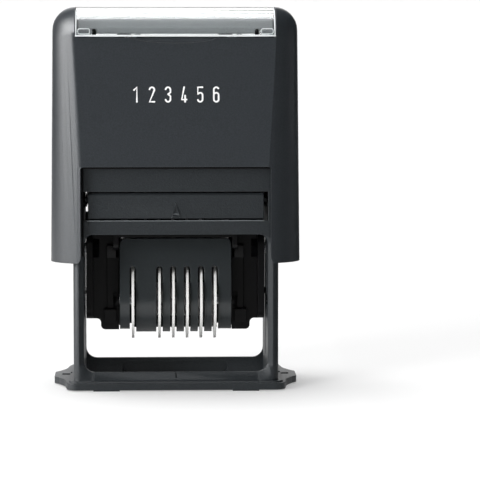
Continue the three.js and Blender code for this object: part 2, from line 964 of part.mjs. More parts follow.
function yoke() {
  const posts = bothSides((side) => alongZ(
    circle(side * springSpread, 0, springPostRadius),
    yokeBottom - yokePostHeight,
    yokeTop,
  ));
  const bossHoles = bothSides((side) => alongZ(
    circle(side * roofBossSpread, 0, roofBossRadius + seatGap, boreSides),
    yokeBottom - overrun,
    yokeTop + overrun,
  ));
  const pinBores = bothSides((side) => barOnSide(
    side,
    circle(0, pivotHeight, pivotPinRadius + seatGap, boreSides),
    armInner - overrun,
    armOuter + overrun,
  ));
  const lockBores = bothSides((side) => barOnSide(
    side,
    circle(0, buttonHeight, buttonPinRadius + seatGap),
    armInner - overrun,
    armOuter + overrun,
  ));
  const pocketFloor = flangeInner() - buttonTravel - seatGap;
  const pockets = bothSides((side) => blockOnSide(
    side,
    pocketFloor,
    armOuter + overrun,
    -armHalfWidth - overrun,
    armHalfWidth + overrun,
    buttonHeight - buttonHalfHeight - buttonFlangeRim - seatGap,
    buttonHeight + buttonHalfHeight + buttonFlangeRim + seatGap,
  ));
  const whole = joined([yokeForm(), ...posts]);
  return cut(whole, [...bossHoles, ...pinBores, ...lockBores, ...pockets]);
}

// Half the casing's width at a height, by its draft
function casingSideAt(height) {
  const share = (height - casingBottom) / (casingTop - casingBottom);
  return casingHalfWidth + (casingTopHalfWidth - casingHalfWidth) * share;
}

function flangeInner() {
  const flangeTop = buttonHeight + buttonHalfHeight + buttonFlangeRim;
  return casingSideAt(flangeTop) - casingWall - seatGap - buttonFlange;
}

function lockButton(side) {
  const face = casingSideAt(buttonHeight + buttonHalfHeight);
  const inner = flangeInner();
  const outer = inner + buttonFlange;
  const cap = buttonHole(side, 0, inner, face);
  const flange = buttonHole(side, buttonFlangeRim, inner, outer);
  const round = circle(0, buttonHeight, buttonPinRadius);
  const pin = barOnSide(side, round, frameHalfWidth + seatGap, outer);
  return joined([cap, flange, pin]);
}

// One unbroken wire wound in curls, its ends run straight up and down for one wire width
function returnSpring(side, name) {
  const low = frameTop + seatGap;
  const high = yokeBottom - seatGap;
  const wireRadius = springWire / 2;
  const rise = high - low - 2 * springWire;
  const steps = springCurls * springCurlSteps;
  const centre = new THREE.Vector3(side * springSpread, 0, low + springWire);
  const middles = [];
  for (let k = 0; k <= steps; k += 1) {
    const turn = (2 * Math.PI * k) / springCurlSteps;
    middles.push(new THREE.Vector3(
      centre.x + springRadius * Math.cos(turn),
      springRadius * Math.sin(turn),
      centre.z + (rise * k) / steps,
    ));
  }
  const first = middles[0].clone().setZ(low);
  const last = middles[steps].clone().setZ(high);
  const route = [first, ...middles, last];
  const positions = [];
  route.forEach((middle, i) => {
    const isEnd = i === 0 || i === route.length - 1;
    const along = new THREE.Vector3(0, 0, 1);
    if (!isEnd) {
      along.subVectors(route[i + 1], route[i - 1]).normalize();
    }
    const outward = middle.clone().sub(centre).setZ(0).normalize();
    const right = new THREE.Vector3().crossVectors(along, outward).normalize();
    const up = new THREE.Vector3().crossVectors(right, along);
    for (let s = 0; s < springWireSides; s += 1) {
      const turn = (2 * Math.PI * s) / springWireSides;
      const point = middle.clone()
        .addScaledVector(up, wireRadius * Math.cos(turn))
        .addScaledVector(right, wireRadius * Math.sin(turn));
      positions.push(point.x, point.y, point.z);
    }
  });
  const index = [];
  for (let i = 0; i < route.length - 1; i += 1) {
    for (let s = 0; s < springWireSides; s += 1) {
      const a = i * springWireSides + s;
      const b = i * springWireSides + ((s + 1) % springWireSides);
      index.push(a, b, a + springWireSides, b, b + springWireSides, a + springWireSides);
    }
  }
  const lastRing = (route.length - 1) * springWireSides;
  for (let s = 1; s < springWireSides - 1; s += 1) {
    index.push(0, s + 1, s, lastRing, lastRing + s, lastRing + s + 1);
  }
  const geometry = new THREE.BufferGeometry();
  geometry.setAttribute('position', new THREE.Float32BufferAttribute(positions, 3));
  geometry.setIndex(index);
  let least = Infinity;
  for (let k = springCurlSteps; k <= steps; k += 1) {
    least = Math.min(least, middles[k].distanceTo(middles[k - springCurlSteps]) - springWire);
  }
  console.log(`${name}: least gap between curls ${least.toFixed(2)} mm`);
  return solidOf(geometry);
}

// Number wheels, bands and platen

function bandPlace(number) {
  return firstBand + bandPitch * number;
}

function discPlace(number) {
  return bandPlace(number) + (number === 0 ? firstDiscOffset : discOffset);
}

function toothedDisc(from, to) {
  const points = [];
  for (let k = 0; k < 2 * discTeeth; k += 1) {
    const turn = (Math.PI * k) / discTeeth;
    const radius = k % 2 === 0 ? discRadius : discRadius - toothDepth;
    points.push(new THREE.Vector2(radius * Math.cos(turn), wheelAxis + radius * Math.sin(turn)));
  }
  return alongX(new THREE.Shape(points), from, to);
}

function numberWheel(number) {
  const disc = discPlace(number);
  const band = bandPlace(number);
  const side = Math.sign(disc - band);
  const drumFar = band - (side * drumWidth) / 2;
  const hubFar = disc + side * (bandPitch - discOffset - drumWidth / 2 - seatGap);
  const between = (a, b, shape) => alongX(shape, Math.min(a, b), Math.max(a, b));
  const drum = between(drumFar, disc, circle(0, wheelAxis, drumRadius, boreSides));
  const hub = between(drumFar, hubFar, circle(0, wheelAxis, hubRadius));
  const bore = alongX(
    circle(0, wheelAxis, axleRadius + seatGap),
    band - bandPitch,
    band + bandPitch,
  );
  const plate = toothedDisc(disc - discThickness / 2, disc + discThickness / 2);
  return joined([plate, drum, hub]).subtract(bore);
}

// The loop that a band follows round the drum and over the platen, `out` from its inner face
function bandLoop(out) {
  const drum = bandInner + out;
  const corner = platenCorner + seatGap + out;
  const cornerAcross = platenHalfDepth - platenCorner;
  const cornerUp = platenTop - platenCorner;
  const apart = Math.hypot(cornerAcross, cornerUp - wheelAxis);
  const lean = Math.atan2(cornerUp - wheelAxis, cornerAcross);
  const tangent = lean - Math.acos((drum - corner) / apart);
  const loop = new THREE.Path();
  loop.moveTo(0, cornerUp + corner);
  loop.lineTo(-cornerAcross, cornerUp + corner);
  loop.absarc(-cornerAcross, cornerUp, corner, Math.PI / 2, Math.PI - tangent, false);
  loop.absarc(0, wheelAxis, drum, Math.PI - tangent, 2 * Math.PI + tangent, false);
  loop.absarc(cornerAcross, cornerUp, corner, tangent, Math.PI / 2, false);
  loop.lineTo(0, cornerUp + corner);
  return loop;
}

function loopPoints(out) {
  const points = [];
  bandLoop(out).curves.forEach((stretch) => {
    const steps = stretch.isLineCurve ? 1 : cornerOrDrumSteps(stretch);
    points.push(...stretch.getPoints(steps).slice(1));
  });
  return points;
}

function cornerOrDrumSteps(stretch) {
  return stretch.aX === 0 ? 2 * arcSteps : smallArcSteps;
}

function numberBand(number) {
  const shape = new THREE.Shape(loopPoints(bandThickness));
  shape.holes.push(new THREE.Path(loopPoints(0)));
  const left = bandPlace(number) - bandWidth / 2;
  const ring = alongX(shape, left, left + bandWidth);
  const loop = bandLoop(bandThickness);
  const pads = [];
  for (let k = 0; k < bandPads; k += 1) {
    const share = k / bandPads;
    const middle = loop.getPointAt(share);
    const along = loop.getTangentAt(share);
    const turn = Math.atan2(along.y, along.x);
    const corners = rectangle(-bandPadLength / 2, bandPadLength / 2, -bandPadHeight, bandSink)
      .getPoints()
      .map((point) => point.rotateAround(new THREE.Vector2(), turn).add(middle));
    pads.push(alongX(new THREE.Shape(corners), left, left + bandWidth));
  }
  return joined([ring, ...pads]);
}

function platen() {
  const bar = alongX(
    outline([
      [-platenHalfDepth, platenBottom],
      [platenHalfDepth, platenBottom],
      [platenHalfDepth, platenTop, platenCorner],
      [-platenHalfDepth, platenTop, platenCorner],
    ]),
    -platenHalfWidth,
    platenHalfWidth,
  );
  const cheeks = bothSides((side) => blockOnSide(
    side,
    platenHalfWidth,
    platenHalfWidth + platenCheek,
    -beamInner + seatGap,
    beamInner - seatGap,
    coverTop + seatGap,
    platenTop,
  ));
  const fins = [];
  for (let number = 1; number < wheelCount; number += 1) {
    const middle = bandPlace(number) - bandPitch / 2;
    fins.push(block(
      middle - combFin / 2,
      middle + combFin / 2,
      -platenHalfDepth - combRise,
      platenHalfDepth + combRise,
      platenBottom,
      platenTop + bandThickness / 2,
    ));
  }
  return joined([bar, ...cheeks, ...fins]);
}

function wheelAxle() {
  return alongX(circle(0, wheelAxis, axleRadius), -cheekOuter + seatGap, cheekOuter - seatGap);
}

// Wheel cover

function coverProfile(inset, low) {
  const radius = coverRadius - inset;
  const shoulder = new THREE.Vector2(-coverShoulderDepth + inset, coverShoulder - wheelAxis);
  const reach = shoulder.length();
  const start = Math.atan2(shoulder.y, shoulder.x) + Math.acos(radius / reach);
  const end = Math.PI - Math.asin((low + inset - wheelAxis) / radius);
  const left = [];
  left.push(new THREE.Vector2(-coverTopDepth + inset, coverTop + (inset > 0 ? overrun : 0)));
  left.push(new THREE.Vector2(shoulder.x, coverShoulder));
  const steps = arcSteps + smallArcSteps;
  for (let k = 0; k <= steps; k += 1) {
    const turn = start + ((end - start) * k) / steps;
    left.push(new THREE.Vector2(radius * Math.cos(turn), wheelAxis + radius * Math.sin(turn)));
  }
  if (inset > 0) {
    left.push(new THREE.Vector2(radius * Math.cos(end), low - overrun));
  }
  const right = left.map((point) => new THREE.Vector2(-point.x, point.y)).reverse();
  return new THREE.Shape([...left, ...right]);
}

// The cover's closed rear bulges round the discs
function coverRear(halfWidth, radius, low) {
  const drum = alongX(circle(0, wheelAxis, radius, 2 * boreSides), -halfWidth, halfWidth);
  return drum.intersect(block(-halfWidth, halfWidth, 0, radius, low, coverTop));
}

function wheelCover() {
  const inside = coverHalfWidth - coverCheek;
  const rearRadius = discRadius + rearWallGap;
  const face = alongY(
    outline([
      [-coverHalfWidth, ribBottom],
      [coverHalfWidth, ribBottom],
      [coverHalfWidth, coverTop, coverTopCorner],
      [-coverHalfWidth, coverTop, coverTopCorner],
    ]),
    -discRadius - coverWall - overrun,
    discRadius + coverWall + overrun,
  );
  const flap = coverHalfWidth + flapReach;
  const flaps = coverRear(flap, rearRadius + coverWall, ribBottom).intersect(
    block(-flap, flap, flapStart, discRadius + 2 * coverWall, ribBottom, coverShoulder - flapDrop),
  );
  const body = joined([
    joined([
      alongX(coverProfile(0, ribBottom), -coverHalfWidth, coverHalfWidth),
      coverRear(coverHalfWidth, rearRadius + coverWall, ribBottom),
    ]).intersect(face),
    flaps,
  ]);
  const hollow = joined([
    alongX(coverProfile(coverWall, ribBottom), -inside, inside),
    coverRear(inside, rearRadius, ribBottom - overrun),
  ]);
  const cheekCuts = bothSides((side) => blockOnSide(
    side,
    Math.abs(discPlace(0)),
    flap + overrun,
    -coverRadius - overrun,
    rearRadius + coverWall + overrun,
    ribBottom - overrun,
    cheekBottom,
  ));
  const slots = [];
  for (let number = 0; number < wheelCount; number += 1) {
    const middle = discPlace(number);
    slots.push(alongY(
      rectangle(
        middle - discSlotWidth / 2,
        middle + discSlotWidth / 2,
        ribBottom - 2 * overrun,
        discSlotTop,
        discSlotWidth / 2 - mergeDistance,
        smallArcSteps,
      ),
      -coverRadius - overrun,
      0,
    ));
  }
  const bore = alongX(
    circle(0, wheelAxis, axleRadius + seatGap),
    -coverHalfWidth - overrun,
    coverHalfWidth + overrun,
  );
  return cut(body, [hollow, ...cheekCuts, ...slots, bore]);
}

// Carrier

function carrierSide(side) {
  const inner = coverHalfWidth + seatGap;
  const web = alongY(
    outline([
      [side * inner, hipBottom],
      [side * hipWidth, hipBottom, hipRound],
      [side * hipWidth, wingBottom, hipRound],
      [side * carrierHalfWidth, wingBottom, hipRound],
      [side * carrierHalfWidth, carrierTop, hipRound],
      [side * inner, carrierTop],
    ]),
    -carrierWeb / 2,
    carrierWeb / 2,
  );
  const end = barOnSide(
    side,
    rectangle(-endHalfDepth, endHalfDepth, wingBottom, carrierTop, endRound),
    carrierHalfWidth - carrierEnd,
    carrierHalfWidth,
  );
  const cheek = barOnSide(
    side,
    rectangle(
      -coverShoulderDepth,
      coverShoulderDepth,
      pivotHeight,
      beamBottom + beamHeight,
      endRound / 2,
    ),
    inner,
    inner + carrierCheek,
  );
  const boss = barOnSide(side, circle(0, wheelAxis, axleBossRadius), inner, inner + carrierCheek);
  const step = blockOnSide(
    side,
    inner,
    inner + webStepWidth,
    -carrierWeb / 2 - webStep,
    0,
    wheelAxis - lugDrop,
    pivotHeight - upperLugDrop,
  );
  const pinBoss = barOnSide(
    side,
    circle(0, pivotHeight, pinBossRadius),
    pinInner() - pinBossLength,
    carrierHalfWidth,
  );
  const lug = blockOnSide(
    side,
    inner + lugStart,
    inner + lugStart + lugWidth,
    -carrierWeb / 2 - lugDepth,
    0,
    wheelAxis - lugDrop,
    wheelAxis - lugDrop + lugHeight,
  );
  const upperLug = blockOnSide(
    side,
    inner + lugStart,
    inner + lugStart + upperLugWidth,
    -carrierWeb / 2 - upperLugDepth,
    0,
    pivotHeight - upperLugDrop,
    pivotHeight - upperLugDrop + upperLugHeight,
  );
  const follower = barOnSide(
    side,
    circle(0, pivotHeight - followerReach, followerRadius, pinSides),
    carrierHalfWidth - carrierEnd,
    frameInner + camDepth - seatGap,
  );
  const pinBore = barOnSide(
    side,
    circle(0, pivotHeight, pivotPinRadius + seatGap, boreSides),
    pinInner() - seatGap,
    carrierHalfWidth + overrun,
  );
  const axleBore = barOnSide(
    side,
    circle(0, wheelAxis, axleRadius + seatGap),
    inner - overrun,
    inner + carrierCheek,
  );
  const solids = [web, end, cheek, boss, step, pinBoss, lug, upperLug, follower];
  return cut(joined(solids), [pinBore, axleBore]);
}

function pinInner() {
  return carrierHalfWidth - carrierEnd - seatGap;
}

function carrier() {
  const beams = [-1, 1].map((side) => block(
    -cheekOuter,
    cheekOuter,
    Math.min(side * beamInner, side * (beamInner + beamThickness)),
    Math.max(side * beamInner, side * (beamInner + beamThickness)),
    beamBottom,
    beamBottom + beamHeight,
  ));
  return joined([...bothSides(carrierSide), ...beams]);
}

function pivotPin(side) {
  return barOnSide(side, circle(0, pivotHeight, pivotPinRadius), pinInner(), armOuter - seatGap);
}

// Pad cassette and ink pad

function padCassette() {
  const front = -frameHalfDepth + seatGap;
  const rear = front + cassetteDepth;
  const body = alongX(
    outline([
      [front, padFaceHeight],
      [rear, padFaceHeight],
      [rear, cassetteTop],
      [front + cassetteBevel, cassetteTop],
      [front, cassetteTop - cassetteBevel],
    ]),
    -cassetteHalfWidth,
    cassetteHalfWidth,
  );
  const tray = padSpace(0, padFaceHeight - overrun);
  const runners = bothSides((side) => blockOnSide(
    side,
    cassetteHalfWidth - cassetteWall / 2,
    cassetteHalfWidth + cassetteRunner,
    front + cassetteWall,
    rear,
    railTop + seatGap,
    railTop + seatGap + railHeight,
  ));
  const arrow = (grow) => new THREE.Shape([
    new THREE.Vector2(-arrowHalfWidth - grow, arrowBottom - grow),
    new THREE.Vector2(arrowHalfWidth + grow, arrowBottom - grow),
    new THREE.Vector2(0, arrowBottom + arrowHeight + 2 * grow),
  ]);
  const mark = alongY(arrow(0), front - arrowRise, front + arrowRise)
    .subtract(alongY(arrow(-arrowLine), front - 2 * arrowRise, front));
  return joined([body.subtract(tray), ...runners, mark]);
}

function padSpace(margin, low) {
  const front = -frameHalfDepth + seatGap;
  return block(
    -cassetteHalfWidth + cassetteWall + margin,
    cassetteHalfWidth - cassetteWall - margin,
    front + cassetteWall + margin,
    front + cassetteDepth - cassetteWall - margin,
    low,
    cassetteTop - cassetteRoof - margin,
  );
}

function inkPad() {
  return padSpace(seatGap, padFaceHeight);
}

// The whole stamp

addPiece('lower_frame', lowerFrame(), finishes.frame);
addPiece('casing', casing(), finishes.casing);
addPiece('index_window', indexWindow(), finishes.clear);
addPiece('index_card', indexCard(), finishes.card);
addPiece('yoke', yoke(), finishes.dark);
addPiece('carrier', carrier(), finishes.dark);
addPiece('wheel_cover', wheelCover(), finishes.cover);
addPiece('wheel_axle', wheelAxle(), finishes.steel);
addPiece('platen', platen(), finishes.dark);
addPiece('pad_cassette', padCassette(), finishes.frame);
addPiece('ink_pad', inkPad(), finishes.felt);
for (const [side, word] of [[-1, 'left'], [1, 'right']]) {
  addPiece(`pivot_pin_${word}`, pivotPin(side), finishes.steel);
  addPiece(`lock_button_${word}`, lockButton(side), finishes.dark);
  addPiece(`return_spring_${word}`, returnSpring(side, `return_spring_${word}`), finishes.steel);
}
for (let number = 0; number < wheelCount; number += 1) {
  addPiece(`number_wheel_${number + 1}`, numberWheel(number), finishes.disc);
  addPiece(`number_band_${number + 1}`, numberBand(number), finishes.rubber);
}

export default stamp;
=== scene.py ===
# A self-inking number stamp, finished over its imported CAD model: moulded plastics whose edges are rounded
# in the shading, the clear index window with its catches, fine knurled discs, and printed sample digits.
import json
import math

import bpy
from mathutils import Matrix, Vector

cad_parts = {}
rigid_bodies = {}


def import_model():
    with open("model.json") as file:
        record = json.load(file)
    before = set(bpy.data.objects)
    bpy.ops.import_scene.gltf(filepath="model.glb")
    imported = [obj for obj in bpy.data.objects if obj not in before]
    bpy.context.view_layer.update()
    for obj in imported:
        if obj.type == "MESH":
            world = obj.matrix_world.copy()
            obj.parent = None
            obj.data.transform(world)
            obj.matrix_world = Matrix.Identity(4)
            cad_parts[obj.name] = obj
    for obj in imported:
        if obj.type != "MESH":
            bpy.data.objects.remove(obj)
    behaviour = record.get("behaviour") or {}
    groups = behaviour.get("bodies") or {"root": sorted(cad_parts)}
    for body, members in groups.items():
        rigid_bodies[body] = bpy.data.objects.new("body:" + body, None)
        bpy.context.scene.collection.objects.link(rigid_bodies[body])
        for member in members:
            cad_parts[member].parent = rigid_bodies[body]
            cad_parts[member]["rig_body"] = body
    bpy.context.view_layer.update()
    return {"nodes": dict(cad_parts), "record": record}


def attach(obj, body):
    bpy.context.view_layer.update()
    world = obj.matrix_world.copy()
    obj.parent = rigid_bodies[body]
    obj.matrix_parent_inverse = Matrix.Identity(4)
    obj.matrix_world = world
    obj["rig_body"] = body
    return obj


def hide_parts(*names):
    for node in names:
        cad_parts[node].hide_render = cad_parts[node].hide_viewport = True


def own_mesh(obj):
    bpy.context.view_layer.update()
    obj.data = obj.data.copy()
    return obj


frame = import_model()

MM = 0.001
nodes = frame["nodes"]

# Camera, as far from the stamp and as high as the photograph's perspective shows; lens and sensor in mm
CAMERA_DISTANCE = 750 * MM
CAMERA_HEIGHT = 106 * MM
CAMERA_SIDE = -8.9 * MM
CAMERA_PITCH = math.radians(5.06)
CAMERA_YAW = math.radians(2.06)
CAMERA_LENS = 202.6
SENSOR_WIDTH = 36

# Merging and shading of the CAD meshes
MERGE_DISTANCE = 0.002 * MM
FLAT_ANGLE = math.radians(0.5)
SMOOTH_ANGLE = math.radians(38)
SMOOTH_NODES = (
    "casing",
    "lower_frame",
    "pad_cassette",
    "wheel_cover",
    "carrier",
    "index_window",
    "yoke",
    "platen",
    "lock_button_left",
    "lock_button_right",
)

# Moulded plastics: the grain of the tool, whose colour runs from darker to lighter between the low and the
# high value, and the samples of the rounded edges
MOULDED_IOR = 1.53
GRAIN_DETAIL = 3
GRAIN_ROUGHNESS = 0.6
GRAIN_LOW = 0.3
GRAIN_HIGH = 0.7
EDGE_SAMPLES = 6

# Clear acrylic, whose polish varies a little over its length
ACRYLIC_IOR = 1.49
HAZE_WIDTH_MM = 9
HAZE_DETAIL = 1
HAZE_LOW = 0.05
HAZE_HIGH = 0.09

# Fine random nap of card, felt, rubber, ink and the painted rim highlights
NAP_DETAIL = 4
NAP_ROUGHNESS = 0.7

# Marks of the die on drawn steel
DIE_MARK_WIDTH_MM = 0.3
DIE_MARK_DETAIL = 2
STEEL_ROUGHNESS_LOW = 0.2
STEEL_ROUGHNESS_HIGH = 0.35

# Round bars
BAR_RESOLUTION = 3
BALL_SEGMENTS = 16
BALL_RINGS = 8

# Start of a level line that looks for a piece's front skin, a metre in front of the stamp
PROBE_START = -1

# Painted highlights on the rims of the clear window and of its catches: white bars where the rims carry the
# light
RIM_WIDTH = 0.36 * MM
LOW_RIM_WIDTH = 0.56 * MM
WINDOW_REACH = 26.85 * MM
WINDOW_PROBE = 20 * MM
WINDOW_LOW = 96.62 * MM
WINDOW_HIGH = 103.4 * MM
WINDOW_STEPS = 12
CATCH_REACH = (26.35 * MM, 23.2 * MM)
CATCH_HEIGHT = (97.1 * MM, 98.5 * MM)
CATCH_CORNER = 0.3 * MM
CATCH_RIM = 0.28 * MM

# Painted shade: dark bars behind the clear window's skin stand in for the shade of the hollow beside each
# catch
NOTCH_REACH = 22 * MM
NOTCH_HEIGHT = (97.2 * MM, 97.8 * MM)
NOTCH_DEPTH = 1.2 * MM
NOTCH_WIDTH = 1.2 * MM

# Painted shade: dark bars that fill the slits between the wheel cover and the carrier
SLIT_SHADE_ACROSS = (-15.6 * MM, 15.4 * MM)
SLIT_SHADE_LOW = 34.5 * MM
SLIT_SHADE_HIGH = 41 * MM
SLIT_SHADE_WIDTH = 1.1 * MM

# Painted shade: a dark bar in the gap round the casing's front cut
GAP_REACH = 25.3 * MM
GAP_FRONT = -18.2 * MM
GAP_LOW = 37 * MM
GAP_HIGH = 60.8 * MM
GAP_WIDTH = 0.5 * MM

# Painted highlights: light bars along the edges of the arrow on the pad cassette and of the ledge under it
EDGE_LINE = 0.26 * MM
ARROW_PROBE = 48.5 * MM
ARROW_LOW = 47.4 * MM
ARROW_HIGH = 51.1 * MM
ARROW_HALF_WIDTH = 1.05 * MM
ARROW_BAR_HEIGHT = 48.2 * MM
ARROW_BAR_HALF = 0.8 * MM
LEDGE_HEIGHT = 46.4 * MM
LEDGE_PROBE = LEDGE_HEIGHT - 0.3 * MM
LEDGE_REACH = 24 * MM

# Printed sample digits on the front panel
DIGIT_PITCH = 4.34 * MM
DIGIT_HALF_WIDTH = 0.65 * MM
DIGIT_HALF_HEIGHT = 1.95 * MM
DIGIT_STROKE = 0.48 * MM
DIGIT_FILM = 0.05 * MM
DIGIT_MIDDLE = (0.1 * MM, 80.8 * MM)
ARC_STEPS = 10

# Number wheels and their knurled discs
WHEEL_COUNT = 6
KNURL_TEETH = 180
KNURL_DEPTH = 0.2 * MM
DRUM_REACH = 6 * MM
BORE_RADIUS = 1.7 * MM

# White paper floor, in metres, which reaches out to the horizon
FLOOR_SIZE = 800
FLOOR_COLOUR = "#f2f2f2"
FLOOR_ROUGHNESS = 0.9
FLOOR_GLOSS = 0.1
FLOOR_GLOW_SHARE = 0.3

# The room's light, and the overhead panel in it that only the gloss mirrors: its glow grows between two
# cosines of the angle from its direction
ROOM_STRENGTH = 0.25
PANEL_DIRECTION = (0, 0.34, 0.94)
PANEL_EDGE = (0.64, 0.99)
PANEL_STRENGTH = 6.5

# Lamps: a softbox for the gloss of the left wing, a fill for the front, and a wide sun from above
STAMP_MIDDLE = (0, 0, 0.05)
SOFTBOX_PLACE = (-0.69, -0.12, 0.32)
SOFTBOX_SIZE = (0.7, 0.5)
SOFTBOX_POWER = 12
FILL_PLACE = (-1.1, -1.1, 0.45)
FILL_SIZE = (0.6, 0.6)
FILL_POWER = 18
SUN_DIRECTION = (-0.14, 0.17, 1)
SUN_STRENGTH = 2.7
SUN_ANGLE = math.radians(36)

# Black flags, each with its name, place, width and height, and the point that it faces
FLAG_COLOUR = (0.002, 0.002, 0.002, 1)
FLAGS = (
    ("front_flag", (0, -1.6, 0.55), (2.6, 1.2), STAMP_MIDDLE),
    ("front_floor_flag", (0, -0.9, 0.0005), (2.2, 1.4), (0, -0.9, 1)),
    ("right_flag", (0.3, -0.05, 0.25), (0.6, 0.6), STAMP_MIDDLE),
    ("right_rear_flag", (0.22, 0.26, 0.25), (0.3, 0.6), STAMP_MIDDLE),
    ("left_rear_flag", (-0.26, 0.26, 0.25), (0.34, 0.6), STAMP_MIDDLE),
    ("right_floor_flag", (0.4, 0.1, 0.0005), (0.7, 0.8), (0.4, 0.1, 1)),
)


# Helpers

def hex_colour(text):
    """An sRGB hex value as linear colour."""
    channels = [int(text[i:i + 2], 16) / 255 for i in (1, 3, 5)]
    linear = [c / 12.92 if c <= 0.04045 else ((c + 0.055) / 1.055) ** 2.4 for c in channels]
    return (*linear, 1)


def add_node(material, kind, inputs=None, links=None, **settings):
    """Adds a node, sets its settings and socket values, and links sockets into it."""
    node = material.node_tree.nodes.new(kind)
    for name, value in settings.items():
        setattr(node, name, value)
    for name, value in (inputs or {}).items():
        node.inputs[name].default_value = value
    for name, socket in (links or {}).items():
        material.node_tree.links.new(socket, node.inputs[name])
    return node


def new_material(name):
    """An empty node material with one Principled shader on its output."""
    material = bpy.data.materials.new(name)
    material.use_nodes = True
    shader = material.node_tree.nodes["Principled BSDF"]
    return material, shader


def noise(material, width_mm, detail, roughness=0.5):
    """Noise in the piece's own space, whose features are about that many millimetres wide."""
    place = add_node(material, "ShaderNodeTexCoord")
    return add_node(
        material,
        "ShaderNodeTexNoise",
        inputs={"Scale": 1 / (width_mm * MM), "Detail": detail, "Roughness": roughness},
        links={"Vector": place.outputs["Object"]},
    )


def add_to_scene(name, data):
    """A new object of that name in the scene."""
    added = bpy.data.objects.new(name, data)
    bpy.context.scene.collection.objects.link(added)
    return added


def select_only(*pieces):
    """Deselects everything, then selects these and makes the last one active."""
    bpy.ops.object.select_all(action="DESELECT")
    for piece in pieces:
        piece.select_set(True)
        bpy.context.view_layer.objects.active = piece


def apply_place(piece):
    """Puts the object's place into its mesh, so that the object stands at the origin."""
    select_only(piece)
    bpy.ops.object.transform_apply(location=True, rotation=True, scale=True)


def apply_modifier(piece, kind, **settings):
    """Adds a modifier, sets it and applies it."""
    modifier = piece.modifiers.new(kind.lower(), kind)
    for name, value in settings.items():
        setattr(modifier, name, value)
    select_only(piece)
    bpy.ops.object.modifier_apply(modifier=modifier.name)


def join(name, pieces):
    """Joins pieces into one mesh of that name."""
    select_only(*pieces)
    if len(pieces) > 1:
        bpy.ops.object.join()
    whole = bpy.context.view_layer.objects.active
    whole.name = name
    whole.data.name = name
    return whole


def finish(piece, material):
    """Gives a piece its one material."""
    piece.data.materials.clear()
    piece.data.materials.append(material)


def joint_row(name):
    """The record's row of a joint."""
    rows = [row for row in frame["record"]["behaviour"]["joints"] if row["name"] == name]
    return rows[0]


# Materials

def moulded_plastic(name, colour, roughness, gloss, grain_mm, grain_depth_mm, colour_spread, edge_mm):
    """A plastic moulded in a grained tool: the grain breaks the highlight up, and the edges are rounded."""
    material, shader = new_material(name)
    grain = noise(material, grain_mm, GRAIN_DETAIL, GRAIN_ROUGHNESS)
    base = hex_colour(colour)
    darker = (*[channel * (1 - colour_spread) for channel in base[:3]], 1)
    lighter = (*[channel * (1 + colour_spread) for channel in base[:3]], 1)
    ramp = add_node(material, "ShaderNodeValToRGB", links={"Fac": grain.outputs["Fac"]})
    ramp.color_ramp.elements[0].position = GRAIN_LOW
    ramp.color_ramp.elements[0].color = darker
    ramp.color_ramp.elements[1].position = GRAIN_HIGH
    ramp.color_ramp.elements[1].color = lighter
    edge = add_node(material, "ShaderNodeBevel", inputs={"Radius": edge_mm * MM}, samples=EDGE_SAMPLES)
    bump = add_node(
        material,
        "ShaderNodeBump",
        inputs={"Strength": 1, "Distance": grain_depth_mm * MM},
        links={"Height": grain.outputs["Fac"], "Normal": edge.outputs["Normal"]},
    )
    material.node_tree.links.new(ramp.outputs["Color"], shader.inputs["Base Color"])
    material.node_tree.links.new(bump.outputs["Normal"], shader.inputs["Normal"])
    shader.inputs["Roughness"].default_value = roughness
    shader.inputs["Specular IOR Level"].default_value = gloss
    shader.inputs["IOR"].default_value = MOULDED_IOR
    return material


def clear_acrylic():
    """Polished acrylic, which shows the card under it and mirrors the lamps."""
    material, shader = new_material("clear_acrylic")
    flow = noise(material, HAZE_WIDTH_MM, HAZE_DETAIL)
    haze = add_node(
        material,
        "ShaderNodeMapRange",
        inputs={"To Min": HAZE_LOW, "To Max": HAZE_HIGH},
        links={"Value": flow.outputs["Fac"]},
    )
    material.node_tree.links.new(haze.outputs["Result"], shader.inputs["Roughness"])
    shader.inputs["Base Color"].default_value = hex_colour("#f4f6f6")
    shader.inputs["IOR"].default_value = ACRYLIC_IOR
    shader.inputs["Transmission Weight"].default_value = 1
    return material


def napped(name, colour, roughness, nap_mm, depth_mm):
    """One even colour under a fine random nap, which leaves no sharp highlight."""
    material, shader = new_material(name)
    nap = noise(material, nap_mm, NAP_DETAIL, NAP_ROUGHNESS)
    bump = add_node(
        material,
        "ShaderNodeBump",
        inputs={"Strength": 1, "Distance": depth_mm * MM},
        links={"Height": nap.outputs["Fac"]},
    )
    material.node_tree.links.new(bump.outputs["Normal"], shader.inputs["Normal"])
    shader.inputs["Base Color"].default_value = hex_colour(colour)
    shader.inputs["Roughness"].default_value = roughness
    return material


def drawn_steel():
    """Bright drawn steel wire and pins, whose polish varies with the marks of the die."""
    material, shader = new_material("drawn_steel")
    marks = noise(material, DIE_MARK_WIDTH_MM, DIE_MARK_DETAIL)
    spread = add_node(
        material,
        "ShaderNodeMapRange",
        inputs={"To Min": STEEL_ROUGHNESS_LOW, "To Max": STEEL_ROUGHNESS_HIGH},
        links={"Value": marks.outputs["Fac"]},
    )
    material.node_tree.links.new(spread.outputs["Result"], shader.inputs["Roughness"])
    shader.inputs["Base Color"].default_value = hex_colour("#c4c6c9")
    shader.inputs["Metallic"].default_value = 1
    return material


# Casing: dark grey ABS with a satin skin
casing_plastic = moulded_plastic(
    "satin_abs_dark_grey",
    "#2e3236",
    roughness=0.38,
    gloss=0.5,
    grain_mm=0.4,
    grain_depth_mm=0.03,
    colour_spread=0.2,
    edge_mm=0.25,
)
# Frame and pad cassette: dark grey ABS with a coarser, duller grain
frame_plastic = moulded_plastic(
    "grained_abs_dark_grey",
    "#272b2e",
    roughness=0.48,
    gloss=0.32,
    grain_mm=0.45,
    grain_depth_mm=0.08,
    colour_spread=0.2,
    edge_mm=0.3,
)
